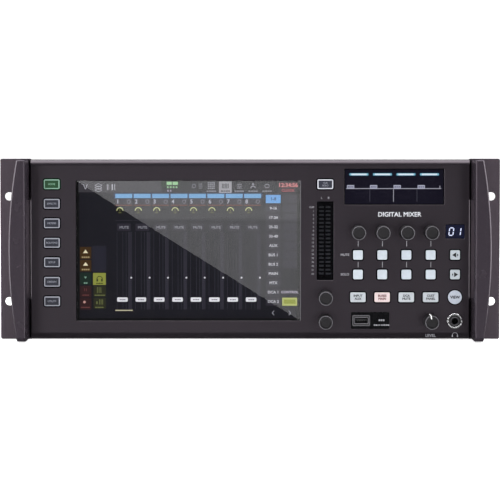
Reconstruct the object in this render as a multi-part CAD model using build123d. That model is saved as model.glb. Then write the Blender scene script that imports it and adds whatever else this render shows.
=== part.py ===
from build123d import *
import math
import os

# Four-unit 19-inch rack-mount digital audio mixer, in millimetres.
# +X is to the right of a person facing the controls, the controls face -Y, +Z is up.
# The origin is the centre of the rack-slot pattern on the ears' rear (mounting) face.

# ---- driving dimensions ----
RACK_WIDTH = 482.6
EAR_HEIGHT = 174.5
EAR_THICKNESS = 3.0
EAR_CORNER = 2.0
EAR_FLANGE_DEPTH = 50.0
EAR_FLANGE_HEIGHT = 150.0
SLOT_SPACING_X = 465.1
SLOT_SPACING_Z = 101.6
SLOT_LENGTH = 9.2
SLOT_HEIGHT = 8.0

PANEL_WIDTH = 423.4
PANEL_HEIGHT = 173.0
PANEL_FRONT = -7.5
PANEL_SHEET = 2.0
PANEL_BEND = 6.5
PANEL_SIDE_BEVEL = 0.7
PANEL_BACK = PANEL_FRONT + PANEL_SHEET

CASE_DEPTH = 220.0
CASE_SHEET = 1.5
CASE_BOTTOM = -EAR_HEIGHT / 2
CASE_TOP = 83.5
CASE_HALF_WIDTH = PANEL_WIDTH / 2
FRONT_FLANGE = 3.0
TOP_FLANGE = 12.0
COVER_LIP = 2.5
REAR_SHEET = 2.0
REAR_FACE = CASE_DEPTH

HANDLE_INNER_X = 213.3
HANDLE_END_X = 221.3
HANDLE_BULGE_X = 228.8
HANDLE_HEIGHT = 172.3
HANDLE_REACH = 37.0
GRIP_THICKNESS = 12.5
FINGER_GAP_HEIGHT = 95.5
HANDLE_SCREW_X = 219.0
HANDLE_SCREW_Z = 67.0

# control positions on the front face
COLUMNS = [104.0, 127.4, 150.7, 174.1]
FIFTH_COLUMN = 197.6
METER_COLUMN = 72.4
MENU_X = -191.1
MENU_TOP_Z = 62.7
MENU_PITCH = 18.83
MENU_COUNT = 7
SQUARE_ROWS = [-5.5, -24.4]
WIDE_ROW = -46.4
ENCODER_ROW = 16.4
BOTTOM_ROW = -69.4

MENU_KEY = (15.0, 9.2)
CLEAR_KEY = (15.1, 9.2)
SQUARE_KEY = (9.25, 9.1)
WIDE_KEY = (14.8, 9.3)
ROUND_KEY_RADIUS = 6.6

KEY_PROUD = 1.6
KEY_CORNER = 1.3
KEY_EDGE = 0.5
KEY_CLEARANCE = 0.4
KEY_FLANGE = 1.2
KEY_FLANGE_THICKNESS = 1.0
KEY_TRAVEL = 0.8
STEM_RADIUS = 1.5

BOARD_FRONT = 2.0
BOARD_THICKNESS = 1.6
BOARD = (1.5, 0.0, 411.0, 157.0)
BOARD_WINDOW = (200.0, 110.0)
BOARD_SPACERS = [(-200, 75), (-200, -75), (61.5, 73), (61.5, -74.5), (202, 73), (160, -74.5)]
SWITCH_SIDE = 6.0
SWITCH_HEIGHT = 2.5
STEM_END = BOARD_FRONT - SWITCH_HEIGHT - KEY_TRAVEL - 0.1

KNOB_RADIUS = 7.0
KNOB_TOP_RADIUS = 6.7
KNOB_FRONT = -25.2
KNOB_BACK = PANEL_FRONT - 0.8
KNOB_RIM = 0.5
KNOB_DISH_RADIUS = 5.2
KNOB_DISH_DEPTH = 0.4
KNOB_FLUTES = 28
KNOB_FLUTE_RADIUS = 0.35
SHAFT_RADIUS = 3.0
SHAFT_CLEARANCE = 0.05
SHAFT_END = -0.5
BUSH_RADIUS = 4.5
BUSH_CLEARANCE = 0.2

# windows: centre x, centre z, width, height
SCREEN = (-59.6, -1.6, 215.3, 135.2)
STRIP = (139.0, 60.2, 96.6, 34.8)
METER = (METER_COLUMN, 8.0, 16.5, 76.1)
DIGITS = (FIFTH_COLUMN, 17.0, 18.8, 13.9)
WINDOW_GAP = 0.2
WINDOW_CHAMFER = 0.3
WINDOW_LIP = 2.0
DIGIT_LIP = 1.5
SCREEN_LIP = 7.0
LENS_BACK = PANEL_BACK + 1.2
LENS_RECESS = 0.3
SCREEN_RECESS = 0.6
DISPLAY_GAP = 0.5
MODULE_FRONT = LENS_BACK + DISPLAY_GAP
METER_ROWS = 18
METER_PITCH = 3.78
METER_TOP_Z = 40.4
METER_LED = (4.8, 2.0)
METER_LED_X = (68.9, 75.3)
LIGHT_BAR = (18.4, 2.2)
LIGHT_BAR_X = [105.0, 127.7, 150.4, 173.1]
LIGHT_BAR_Z = 72.1

USB_PLATE = (115.8, -68.9, 36.9, 16.0)
USB_PORT = (107.2, -68.9)
USB_SHELL = (14.4, 6.7)
USB_MOUTH = (12.9, 5.2)
USB_COLLAR = (17.0, 10.6)
USB_DEPTH = 14.0

JACK = (197.4, -69.5)
JACK_BORE_RADIUS = 3.2
JACK_BUSH_RADIUS = 6.0
JACK_NUT_RADIUS = 7.65
JACK_NUT_THICKNESS = 2.2
JACK_BODY = (16.0, 14.0)

XLR_COLUMNS = [-192.0 + 32.0 * i for i in range(8)]
XLR_INPUT_ROWS = [57.0, 19.0, -19.0]
XLR_OUTPUT_ROW = -57.0
XLR_FLANGE = (26.0, 31.0)
XLR_BODY_RADIUS = 11.8
XLR_DEPTH = 25.0
XLR_RECESS_RADIUS = 9.3
XLR_RECESS_DEPTH = 12.0

LAN_PORTS = [80.0, 106.0, 132.0]
LAN_ROW = 57.0
LAN_SHELL = (16.0, 14.0)
LAN_MOUTH = (12.0, 8.0)

INLET_X = 178.0
INLET_Z = -36.0
INLET_FLANGE = (50.0, 62.0)
INLET_BODY = (40.0, 54.0)
INLET_FLANGE_THICKNESS = 3.0
INLET_DEPTH = 24.0
INLET_RECESS = (24.6, 16.8)
INLET_RECESS_DEPTH = 16.0
INLET_RECESS_Z = INLET_Z - 12.0
ROCKER_Z = INLET_Z + 14.0
ROCKER_PIVOT_Y = REAR_FACE - 4.0
ROCKER_HALF = (10.6, 7.6)
ROCKER_WINDOW_HALF = (11.0, 9.0)
ROCKER_TILT = 8.0
ROCKER_PIN_RADIUS = 1.5

SCREW_HEAD_RADIUS = 3.6
SCREW_SHANK_RADIUS = 1.95
SCREW_HEAD_HEIGHT = 1.4
SCREW_LENGTH = 6.0
SCREW_GAP = 0.1

nodes = {}


# ---- building blocks ----
def facing(x, y, z):
    """Plane parallel to the front face: local x is +X, local y is +Z, normal is -Y."""
    return Plane(origin=(x, y, z), x_dir=(1, 0, 0), z_dir=(0, -1, 0))


def prism(outline, x, z, y_front, y_back, taper=0.0):
    """Outline in XZ about (x, z), swept from y_front back to y_back."""
    return extrude(facing(x, y_front, z) * outline, amount=y_front - y_back, taper=taper)


def slab(x, z, width, height, y_front, y_back, corner=0.0):
    outline = RectangleRounded(width, height, corner) if corner else Rectangle(width, height)
    return prism(outline, x, z, y_front, y_back)


def rod(x, z, radius, y_front, y_back):
    return prism(Circle(radius), x, z, y_front, y_back)


def block(x_min, x_max, y_min, y_max, z_min, z_max):
    size = (x_max - x_min, y_max - y_min, z_max - z_min)
    centre = ((x_min + x_max) / 2, (y_min + y_max) / 2, (z_min + z_max) / 2)
    return Pos(*centre) * Box(*size)


def bevelled_window(x, z, width, height, corner):
    """Cutter for a window in the panel sheet, with a bevelled front edge."""
    hole = slab(x, z, width, height, PANEL_FRONT - 1, PANEL_BACK + 1, corner)
    rim = RectangleRounded(width + 2 * WINDOW_CHAMFER, height + 2 * WINDOW_CHAMFER, corner + WINDOW_CHAMFER)
    return hole + prism(rim, x, z, PANEL_FRONT, PANEL_FRONT + WINDOW_CHAMFER, taper=45)


def countersunk_screw():
    """Screw along -Z from the origin, its flat head flush with z = 0."""
    head = Pos(0, 0, -SCREW_HEAD_HEIGHT / 2) * Cone(SCREW_SHANK_RADIUS, SCREW_HEAD_RADIUS, SCREW_HEAD_HEIGHT)
    shank = Pos(0, 0, -SCREW_LENGTH / 2) * Cylinder(SCREW_SHANK_RADIUS, SCREW_LENGTH)
    drive = extrude(RegularPolygon(1.2, 6), amount=-0.8)
    return head + shank - drive


def countersunk_hole():
    top = SCREW_HEAD_RADIUS + SCREW_GAP
    shank = SCREW_SHANK_RADIUS + SCREW_GAP
    head = Pos(0, 0, -SCREW_HEAD_HEIGHT / 2) * Cone(shank, top, SCREW_HEAD_HEIGHT)
    return head + Pos(0, 0, -SCREW_LENGTH / 2) * Cylinder(shank, SCREW_LENGTH + 2)


# ---- where the case screws go: each a location whose local +Z points out of the case ----
COVER_SCREWS = [
    Pos(side * (CASE_HALF_WIDTH - 7), y, CASE_TOP) for side in (-1, 1) for y in (15, 78, 141, 204)
]
EAR_SCREWS = [
    Pos(side * (CASE_HALF_WIDTH + EAR_THICKNESS), 30, z) * Rot(0, side * 90, 0)
    for side in (-1, 1)
    for z in (-55, 0, 55)
]


# ---- case ----
def front_panel():
    """Folded steel sheet: rolled top and bottom edges, bevelled side edges, returns to the case."""
    half_width = PANEL_WIDTH / 2
    half_height = PANEL_HEIGHT / 2

    def rolled_bar(inset, radius, y_front):
        side_view = Rectangle(2 * (0 - y_front), 2 * (half_height - inset))
        side_view = fillet(side_view.vertices(), radius)
        bar = extrude(Plane.YZ * side_view, amount=half_width - inset, both=True)
        return bar & block(-half_width, half_width, y_front, 0, -half_height, half_height)

    outer = rolled_bar(0, PANEL_BEND, PANEL_FRONT)
    bevels = chamfer(Rectangle(PANEL_WIDTH, -2 * PANEL_FRONT).vertices(), PANEL_SIDE_BEVEL)
    outer = outer & extrude(bevels, amount=half_height, both=True)
    panel = outer - rolled_bar(PANEL_SHEET, PANEL_BEND - PANEL_SHEET, PANEL_BACK)

    for x, z, width, height in (SCREEN, STRIP, METER, DIGITS):
        panel -= bevelled_window(x, z, width, height, 0.8)
    for _, x, z, width, height in KEYS:
        gap = 2 * KEY_CLEARANCE
        corner = KEY_CORNER + KEY_CLEARANCE
        panel -= slab(x, z, width + gap, height + gap, PANEL_FRONT - 1, PANEL_BACK + 1, corner)
    panel -= rod(*ROUND_KEY_AT, ROUND_KEY_RADIUS + KEY_CLEARANCE, PANEL_FRONT - 1, PANEL_BACK + 1)
    for _, x, z in KNOBS:
        panel -= rod(x, z, BUSH_RADIUS + BUSH_CLEARANCE, PANEL_FRONT - 1, PANEL_BACK + 1)
    panel -= rod(*JACK, JACK_BUSH_RADIUS + 0.1, PANEL_FRONT - 1, PANEL_BACK + 1)
    panel -= slab(*USB_PORT, USB_SHELL[0] + 0.4, USB_SHELL[1] + 0.4, PANEL_FRONT - 1, PANEL_BACK + 1)
    return panel


def vent_row(count, pitch, length, width):
    """Rounded slots side by side along local x, centred on the origin."""
    slot = Rot(0, 0, 90) * SlotOverall(length, width)
    return [Pos((i - (count - 1) / 2) * pitch, 0) * slot for i in range(count)]


def chassis_tray():
    """Bottom and side walls with inward flanges along the front and top edges."""
    w = CASE_HALF_WIDTH
    top = CASE_TOP - CASE_SHEET
    floor = CASE_BOTTOM + CASE_SHEET
    tray = block(-w, w, 0, CASE_DEPTH, CASE_BOTTOM, floor)
    tray += block(-w, w, 0, CASE_SHEET, floor, floor + FRONT_FLANGE - CASE_SHEET)
    for side in (-1, 1):
        inner = side * (w - CASE_SHEET)
        lip = side * (w - FRONT_FLANGE)
        ledge = side * (w - TOP_FLANGE)
        outer = side * w
        tray += block(*sorted((inner, outer)), 0, CASE_DEPTH, floor, top)
        tray += block(*sorted((lip, outer)), 0, CASE_SHEET, floor, top)
        tray += block(*sorted((ledge, outer)), CASE_SHEET, CASE_DEPTH - REAR_SHEET, top - CASE_SHEET, top)
        wall = Plane(origin=(outer, 130, 15), x_dir=(0, 1, 0), z_dir=(side, 0, 0))
        for slot in vent_row(14, 8.0, 60.0, 3.5):
            tray -= extrude(wall * slot, amount=3, both=True)
    for place in COVER_SCREWS + EAR_SCREWS:
        tray -= place * countersunk_hole()
    return tray


def top_cover():
    w = CASE_HALF_WIDTH
    under = CASE_TOP - CASE_SHEET
    cover = block(-w, w, 0, CASE_DEPTH, under, CASE_TOP)
    edge = w - FRONT_FLANGE - 1
    cover += block(-edge, edge, 0, CASE_SHEET, under - COVER_LIP, under)
    top = Plane(origin=(0, 0, CASE_TOP))
    for x in (-110, 110):
        for y in (75, 145):
            for slot in vent_row(16, 8.0, 44.0, 3.5):
                cover -= extrude(top * Pos(x, y) * slot, amount=3, both=True)
    for place in COVER_SCREWS:
        cover -= place * countersunk_hole()
    return cover


def rear_panel():
    half = CASE_HALF_WIDTH - CASE_SHEET
    front = CASE_DEPTH - REAR_SHEET
    panel = block(-half, half, front, CASE_DEPTH, CASE_BOTTOM + CASE_SHEET, CASE_TOP - CASE_SHEET)
    for x in XLR_COLUMNS:
        for z in XLR_INPUT_ROWS + [XLR_OUTPUT_ROW]:
            panel -= rod(x, z, XLR_BODY_RADIUS + 0.2, front - 1, CASE_DEPTH + 1)
    for x in LAN_PORTS:
        panel -= slab(x, LAN_ROW, LAN_SHELL[0] + 0.4, LAN_SHELL[1] + 0.4, front - 1, CASE_DEPTH + 1)
    panel -= slab(
        INLET_X, INLET_Z, INLET_BODY[0] + 0.4, INLET_BODY[1] + 0.4, front - 1, CASE_DEPTH + 1
    )
    for slot in vent_row(6, 8.0, 40.0, 3.5):
        panel -= prism(slot, INLET_X, 48, front - 1, CASE_DEPTH + 1)
    return panel


def rack_ear(side):
    """Angle bracket: slotted front plate and a flange screwed to the side of the case."""
    inner = CASE_HALF_WIDTH
    width = RACK_WIDTH / 2 - inner
    plate = block(inner, inner + width, -EAR_THICKNESS, 0, -EAR_HEIGHT / 2, EAR_HEIGHT / 2)
    outer_edges = plate.edges().filter_by(Axis.Y).group_by(Axis.X)[-1]
    plate = fillet(outer_edges, EAR_CORNER)
    flange = block(
        inner, inner + EAR_THICKNESS, 0, EAR_FLANGE_DEPTH, -EAR_FLANGE_HEIGHT / 2, EAR_FLANGE_HEIGHT / 2
    )
    rear_corners = flange.edges().filter_by(Axis.X).group_by(Axis.Y)[-1]
    ear = plate + fillet(rear_corners, 8)
    for z in (-SLOT_SPACING_Z / 2, SLOT_SPACING_Z / 2):
        slot = SlotOverall(SLOT_LENGTH, SLOT_HEIGHT)
        ear -= prism(slot, SLOT_SPACING_X / 2, z, -EAR_THICKNESS - 1, 1)
    for z in (-HANDLE_SCREW_Z, HANDLE_SCREW_Z):
        ear -= rod(HANDLE_SCREW_X, z, 2.7, -EAR_THICKNESS - 1, 1)
    ear = ear if side > 0 else mirror(ear, Plane.YZ)
    for place in EAR_SCREWS:
        ear -= place * countersunk_hole()
    return ear


# ---- pull handles ----
def handle(side):
    """Cast bow: outer edge on an arc, finger gap behind the grip, legs on the ear's face."""
    half = HANDLE_HEIGHT / 2
    back = -EAR_THICKNESS
    front = back - HANDLE_REACH
    outline = make_face(
        Polyline((HANDLE_END_X, half), (HANDLE_INNER_X, half), (HANDLE_INNER_X, -half), (HANDLE_END_X, -half))
        + ThreePointArc((HANDLE_END_X, -half), (HANDLE_BULGE_X, 0), (HANDLE_END_X, half))
    )
    bow = prism(outline, 0, 0, front, back)
    front_face = bow.faces().sort_by(Axis.Y)[0]
    outer_edge = front_face.edges().sort_by(Axis.X)[-1]
    bow = chamfer(outer_edge, 1.2)
    inner_edge = bow.faces().sort_by(Axis.Y)[0].edges().sort_by(Axis.X)[0]
    bow = fillet(inner_edge, 2.0)

    top_bevel = 0.8
    bottom_bevel = 4.0
    dip_start, dip_middle, dip_end = (front + reach for reach in (20, 11, 4))
    dip_depth = 2.5
    side_view = Polyline(
        (back, half),
        (dip_start, half),
        (dip_middle, half - dip_depth),
        (dip_end, half),
        (front + top_bevel, half),
        (front, half - top_bevel),
        (front, -half + bottom_bevel),
        (front + bottom_bevel, -half),
        (back, -half),
        close=True,
    )
    side_face = Plane.YZ * make_face(side_view)
    bow = bow & extrude(side_face, amount=300)

    gap_depth = HANDLE_REACH - GRIP_THICKNESS
    gap_view = Rectangle(2 * gap_depth, FINGER_GAP_HEIGHT)
    gap_view = fillet(gap_view.vertices(), 7.0)
    bow -= extrude(Plane.YZ * Pos(back, 0) * gap_view, amount=300)
    for z in (-HANDLE_SCREW_Z, HANDLE_SCREW_Z):
        bow -= rod(HANDLE_SCREW_X, z, 2.55, back - 14, back + 1)
    return bow if side > 0 else mirror(bow, Plane.YZ)


def handle_screws():
    """Socket-head screws that pass through the ears from behind into the handle legs."""
    screws = []
    for side in (-1, 1):
        for z in (-HANDLE_SCREW_Z, HANDLE_SCREW_Z):
            x = side * HANDLE_SCREW_X
            screw = rod(x, z, 4.0, 0, 3) + rod(x, z, 2.5, -EAR_THICKNESS - 11, 0)
            screws.append(screw - prism(RegularPolygon(2, 6), x, z, 1, 3))
    return screws


# ---- keys ----
KEYS = [
    (f"menu_key_{i + 1}", MENU_X, MENU_TOP_Z - i * MENU_PITCH, *MENU_KEY) for i in range(MENU_COUNT)
]
KEYS.append(("clear_key", METER_COLUMN, MENU_TOP_Z, *CLEAR_KEY))
for row, (name, z) in enumerate(zip(("mute_key", "solo_key"), SQUARE_ROWS)):
    KEYS += [(f"{name}_{i + 1}", x, z, *SQUARE_KEY) for i, x in enumerate(COLUMNS)]
    KEYS.append((("page_left_key", "page_right_key")[row], FIFTH_COLUMN, z, *SQUARE_KEY))
KEYS += [(f"function_key_{i + 1}", x, WIDE_ROW, *WIDE_KEY) for i, x in enumerate(COLUMNS)]
ROUND_KEY_AT = (FIFTH_COLUMN, WIDE_ROW)


def key(x, z, outline, flange):
    """Moulded cap through the panel, a flange behind the sheet and a stem towards its switch."""
    cap = prism(outline, x, z, PANEL_FRONT - KEY_PROUD, PANEL_BACK)
    cap = fillet(cap.faces().sort_by(Axis.Y)[0].edges(), KEY_EDGE)
    flange_back = PANEL_BACK + KEY_FLANGE_THICKNESS
    cap += prism(flange, x, z, PANEL_BACK, flange_back)
    return cap + rod(x, z, STEM_RADIUS, flange_back, STEM_END)


def make_keys():
    for name, x, z, width, height in KEYS:
        outline = RectangleRounded(width, height, KEY_CORNER)
        flange = Rectangle(width + 2 * KEY_FLANGE, height + 2 * KEY_FLANGE)
        nodes[name] = key(x, z, outline, flange)
    flange = Circle(ROUND_KEY_RADIUS + KEY_FLANGE)
    nodes["view_key"] = key(*ROUND_KEY_AT, Circle(ROUND_KEY_RADIUS), flange)


# ---- knobs ----
KNOBS = [(f"channel_encoder_{i + 1}", x, ENCODER_ROW) for i, x in enumerate(COLUMNS)]
KNOBS += [("meter_encoder_1", METER_COLUMN, -46.3), ("meter_encoder_2", METER_COLUMN, BOTTOM_ROW)]
KNOBS.append(("level_knob", COLUMNS[3], BOTTOM_ROW))


def knob(x, z):
    """Fluted, slightly tapered cap with a bevelled rim and a dished face, on its shaft."""
    length = KNOB_BACK - KNOB_FRONT
    side = Polyline(
        (0, 0),
        (KNOB_DISH_RADIUS - 1, 0),
        (KNOB_DISH_RADIUS, KNOB_DISH_DEPTH),
        (KNOB_TOP_RADIUS - KNOB_RIM, KNOB_DISH_DEPTH),
        (KNOB_TOP_RADIUS, KNOB_DISH_DEPTH + KNOB_RIM),
        (KNOB_RADIUS, length),
        (0, length),
        close=True,
    )
    turned = revolve(Plane.XZ * make_face(side), Axis.Z)
    flutes = Sketch() + [
        loc * Circle(KNOB_FLUTE_RADIUS) for loc in PolarLocations(KNOB_RADIUS + 0.1, KNOB_FLUTES)
    ]
    grip_end = length - 2.0
    turned -= extrude(Pos(0, 0, KNOB_DISH_DEPTH + KNOB_RIM + 1) * flutes, amount=grip_end - 2.0)
    # local +Z points from the knob's face back into the panel
    place = Location(Plane(origin=(x, KNOB_FRONT + KNOB_DISH_DEPTH, z), x_dir=(1, 0, 0), z_dir=(0, 1, 0)))
    cap = place * Pos(0, 0, -KNOB_DISH_DEPTH) * turned
    return cap + rod(x, z, SHAFT_RADIUS, KNOB_BACK, SHAFT_END)


def make_knobs():
    for name, x, z in KNOBS:
        nodes[name] = knob(x, z)
    pointer_groove = block(-0.45, 0.45, KNOB_FRONT - 1, KNOB_FRONT + 0.6, 2.2, KNOB_RADIUS + 1)
    tilt = Rot(0, -10, 0)
    nodes["level_knob"] -= Pos(COLUMNS[3], 0, BOTTOM_ROW) * tilt * pointer_groove


def encoder_bodies():
    """Board-mounted encoder housings with bushes through the panel and blind shaft bores."""
    bodies = []
    for _, x, z in KNOBS:
        body = slab(x, z, 12.5, 13.5, PANEL_BACK + 0.9, BOARD_FRONT)
        body += rod(x, z, BUSH_RADIUS, PANEL_FRONT - 0.5, PANEL_BACK + 0.9)
        bodies.append(body - rod(x, z, SHAFT_RADIUS + SHAFT_CLEARANCE, PANEL_FRONT - 1, 0.5))
    return bodies


# ---- windows and displays ----
def lens(window, lip, recess):
    """Stepped clear pane: the pad fills the window, the lip sits behind the sheet."""
    x, z, width, height = window
    gap = 2 * WINDOW_GAP
    pad = slab(x, z, width - gap, height - gap, PANEL_FRONT + recess, PANEL_BACK, 0.6)
    return pad + slab(x, z, width + 2 * lip, height + 2 * lip, PANEL_BACK, LENS_BACK, 1.0)


def module_behind(window, border, front=MODULE_FRONT):
    x, z, width, height = window
    return slab(x, z, width + 2 * border, height + 2 * border, front, BOARD_FRONT, 0.5)


def meter_leds():
    """Bar-graph module: a dark housing whose light pipes stand in a shallow front pocket."""
    x, z, width, height = METER
    led_width, led_height = METER_LED
    module = module_behind(METER, 1.0)
    module -= slab(x, z, width, height, MODULE_FRONT - 1, MODULE_FRONT + 0.8)
    for row in range(METER_ROWS):
        for led_x in METER_LED_X:
            led_z = METER_TOP_Z - row * METER_PITCH
            module += slab(led_x, led_z, led_width, led_height, MODULE_FRONT, MODULE_FRONT + 1)
    return module


def strip_display():
    """Display module with a light bar pocket over each channel column."""
    module = module_behind(STRIP, 1.0)
    for bar_x in LIGHT_BAR_X:
        module -= slab(bar_x, LIGHT_BAR_Z, *LIGHT_BAR, MODULE_FRONT - 1, MODULE_FRONT + 0.4)
    return module


# ---- front sockets ----
def usb_bezel():
    x, z, width, height = USB_PLATE
    plate = slab(x, z, width, height, PANEL_FRONT - 1.0, PANEL_FRONT, 1.0)
    plate = chamfer(plate.faces().sort_by(Axis.Y)[0].edges(), 0.3)
    return plate - slab(*USB_PORT, USB_SHELL[0] + 0.4, USB_SHELL[1] + 0.4, PANEL_FRONT - 2, PANEL_FRONT + 1)


def usb_socket():
    front = PANEL_FRONT - 1.0
    shell = slab(*USB_PORT, *USB_SHELL, front - 0.5, front + USB_DEPTH, 0.6)
    shell += slab(*USB_PORT, *USB_COLLAR, front - 0.5, front, 0.6)
    return shell - slab(*USB_PORT, *USB_MOUTH, front - 1, front + USB_DEPTH - 2)


def phones_jack():
    x, z = JACK
    mouth = PANEL_FRONT - JACK_NUT_THICKNESS - 0.5
    body = slab(x, z, *JACK_BODY, PANEL_BACK, 16)
    body += rod(x, z, JACK_BUSH_RADIUS, mouth, PANEL_BACK)
    return body - rod(x, z, JACK_BORE_RADIUS, mouth - 1, 12)


def phones_nut():
    x, z = JACK
    nut = rod(x, z, JACK_NUT_RADIUS, PANEL_FRONT - JACK_NUT_THICKNESS, PANEL_FRONT)
    nut = chamfer(nut.faces().sort_by(Axis.Y)[0].edges(), 0.5)
    return nut - rod(x, z, JACK_BUSH_RADIUS + 0.05, PANEL_FRONT - 5, PANEL_FRONT + 1)


# ---- inside ----
def control_board():
    """Board behind the panel with its spacers and one switch under every key."""
    board_back = BOARD_FRONT + BOARD_THICKNESS
    board = slab(*BOARD, BOARD_FRONT, board_back, 2)
    board -= slab(SCREEN[0], SCREEN[1], *BOARD_WINDOW, BOARD_FRONT - 1, board_back + 1, 4)
    board -= slab(*USB_PORT, 18, 10, BOARD_FRONT - 1, board_back + 1)
    board -= slab(*JACK, 18, 17.4, BOARD_FRONT - 1, board_back + 1)
    for x, z in BOARD_SPACERS:
        board += rod(x, z, 2.5, PANEL_BACK, BOARD_FRONT)
    key_places = [(x, z) for _, x, z, _, _ in KEYS] + [ROUND_KEY_AT]
    for x, z in key_places:
        board += slab(x, z, SWITCH_SIDE, SWITCH_SIDE, BOARD_FRONT - SWITCH_HEIGHT, BOARD_FRONT)
    return board


def main_board():
    """Signal board on standoffs, with processor heat sinks and converter chips."""
    floor = CASE_BOTTOM + CASE_SHEET
    underside = floor + 9
    surface = underside + 1.6
    board = block(-195, 105, 20, 190, underside, surface)
    for x in (-188, -40, 98):
        for y in (27, 183):
            board += Pos(x, y, (floor + underside) / 2) * Cylinder(3, underside - floor)
    for x in (-120, 0):
        board += block(x - 20, x + 20, 60, 100, surface, surface + 3)
        for fin in range(8):
            left = x - 19 + fin * 5
            board += block(left, left + 1.5, 61, 99, surface + 3, surface + 16)
    for x in range(-180, 91, 30):
        board += block(x, x + 12, 140, 152, surface, surface + 2)
    return board


def power_supply():
    """Enclosed supply that stands on the case bottom."""
    floor = CASE_BOTTOM + CASE_SHEET
    supply = block(120, 204, 30, 170, floor, floor + 42)
    top = Plane(origin=(162, 100, floor + 42))
    for slot in vent_row(8, 8.0, 60.0, 3.5):
        supply -= extrude(top * slot, amount=-3)
    return supply


# ---- rear sockets ----
def xlr_shell(x, z):
    back = REAR_FACE
    shell = slab(x, z, *XLR_FLANGE, back, back + 2, 2.5)
    return shell + rod(x, z, XLR_BODY_RADIUS, back - XLR_DEPTH, back)


def xlr_input(x, z):
    """Female socket: contact insert inside a shell groove, with a latch tab above."""
    back = REAR_FACE + 2
    socket = xlr_shell(x, z)
    groove = rod(x, z, 9.4, back - 1.5, back + 1) - rod(x, z, 8.0, back - 2, back + 2)
    socket -= groove
    for angle in (90, 210, 330):
        pin_x = x + 3.75 * math.cos(math.radians(angle))
        pin_z = z - 3.75 * math.sin(math.radians(angle))
        socket -= rod(pin_x, pin_z, 1.3, back - 4, back + 1)
    return socket + slab(x, z + 12.0, 8.0, 3.6, back - 0.5, back + 1.2)


def xlr_output(x, z):
    """Male socket: an open round recess that a cable plug enters."""
    back = REAR_FACE + 2
    return xlr_shell(x, z) - rod(x, z, XLR_RECESS_RADIUS, back - XLR_RECESS_DEPTH, back + 1)


def network_ports():
    ports = []
    for x in LAN_PORTS:
        port = slab(x, LAN_ROW, *LAN_SHELL, REAR_FACE - 18, REAR_FACE + 1, 0.4)
        port -= slab(x, LAN_ROW, *LAN_MOUTH, REAR_FACE - 12, REAR_FACE + 2)
        port -= slab(x, LAN_ROW + LAN_MOUTH[1] / 2 + 0.9, 5, 2, REAR_FACE - 12, REAR_FACE + 2)
        ports.append(port)
    return ports


def mains_inlet():
    """Power entry module: appliance inlet below, rocker switch window above."""
    back = REAR_FACE + INLET_FLANGE_THICKNESS
    module = slab(INLET_X, INLET_Z, *INLET_FLANGE, REAR_FACE, back, 3)
    module += slab(INLET_X, INLET_Z, *INLET_BODY, REAR_FACE - INLET_DEPTH, REAR_FACE)
    width, height = INLET_RECESS
    module -= slab(INLET_X, INLET_RECESS_Z, width, height, back - INLET_RECESS_DEPTH, back + 1, 3)
    half_x, half_z = ROCKER_WINDOW_HALF
    window_depth = ROCKER_PIVOT_Y - 9
    module -= slab(INLET_X, ROCKER_Z, 2 * half_x, 2 * half_z, window_depth, back + 1)
    pin = Pos(INLET_X, ROCKER_PIVOT_Y, ROCKER_Z) * Rot(0, 90, 0) * Cylinder(ROCKER_PIN_RADIUS + 0.05, 26)
    return module - pin


def power_rocker():
    """Rocker with a shallow V face and two pivot pins, drawn in its off position."""
    half_x, half_z = ROCKER_HALF
    middle = 7.0
    end = middle + half_z * math.tan(math.radians(ROCKER_TILT))
    side_view = Polyline(
        (-6, -half_z), (end, -half_z), (middle, 0), (end, half_z), (-6, half_z), close=True
    )
    rocker = extrude(Plane.YZ * make_face(side_view), amount=half_x, both=True)
    rocker += Rot(0, 90, 0) * Cylinder(ROCKER_PIN_RADIUS, 25)
    return Pos(INLET_X, ROCKER_PIVOT_Y, ROCKER_Z) * Rot(-ROCKER_TILT, 0, 0) * rocker


# ---- assembly ----
def as_shape(made):
    """One shape from one solid or from a list of separate solids."""
    if isinstance(made, list):
        return Compound(children=[solid for item in made for solid in item.solids()])
    return made


nodes["front_panel"] = front_panel()
nodes["chassis_tray"] = chassis_tray()
nodes["top_cover"] = top_cover()
nodes["rear_panel"] = rear_panel()
nodes["rack_ear_left"] = rack_ear(-1)
nodes["rack_ear_right"] = rack_ear(1)
nodes["handle_left"] = handle(-1)
nodes["handle_right"] = handle(1)
nodes["handle_screws"] = handle_screws()
nodes["case_screws"] = [place * countersunk_screw() for place in COVER_SCREWS + EAR_SCREWS]
make_keys()
make_knobs()
nodes["encoder_bodies"] = encoder_bodies()
nodes["touch_glass"] = lens(SCREEN, SCREEN_LIP, SCREEN_RECESS)
nodes["lcd_module"] = module_behind(SCREEN, SCREEN_LIP - 1)
nodes["strip_window"] = lens(STRIP, WINDOW_LIP, LENS_RECESS)
nodes["strip_display"] = strip_display()
nodes["meter_window"] = lens(METER, WINDOW_LIP, LENS_RECESS)
nodes["meter_leds"] = meter_leds()
nodes["digit_display"] = lens(DIGITS, DIGIT_LIP, LENS_RECESS) + module_behind(DIGITS, 1.0, LENS_BACK)
nodes["usb_bezel"] = usb_bezel()
nodes["usb_socket"] = usb_socket()
nodes["phones_jack"] = phones_jack()
nodes["phones_nut"] = phones_nut()
nodes["control_board"] = control_board()
nodes["main_board"] = main_board()
nodes["power_supply"] = power_supply()
nodes["xlr_inputs"] = [xlr_input(x, z) for x in XLR_COLUMNS for z in XLR_INPUT_ROWS]
nodes["xlr_outputs"] = [xlr_output(x, XLR_OUTPUT_ROW) for x in XLR_COLUMNS]
nodes["network_ports"] = network_ports()
nodes["mains_inlet"] = mains_inlet()
nodes["power_rocker"] = power_rocker()

os.makedirs("parts", exist_ok=True)
for name, made in nodes.items():
    export_step(as_shape(made), f"parts/{name}.step")
print(len(nodes), "nodes")
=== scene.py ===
import math

import bmesh
import bpy
from mathutils import Matrix, Vector


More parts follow.
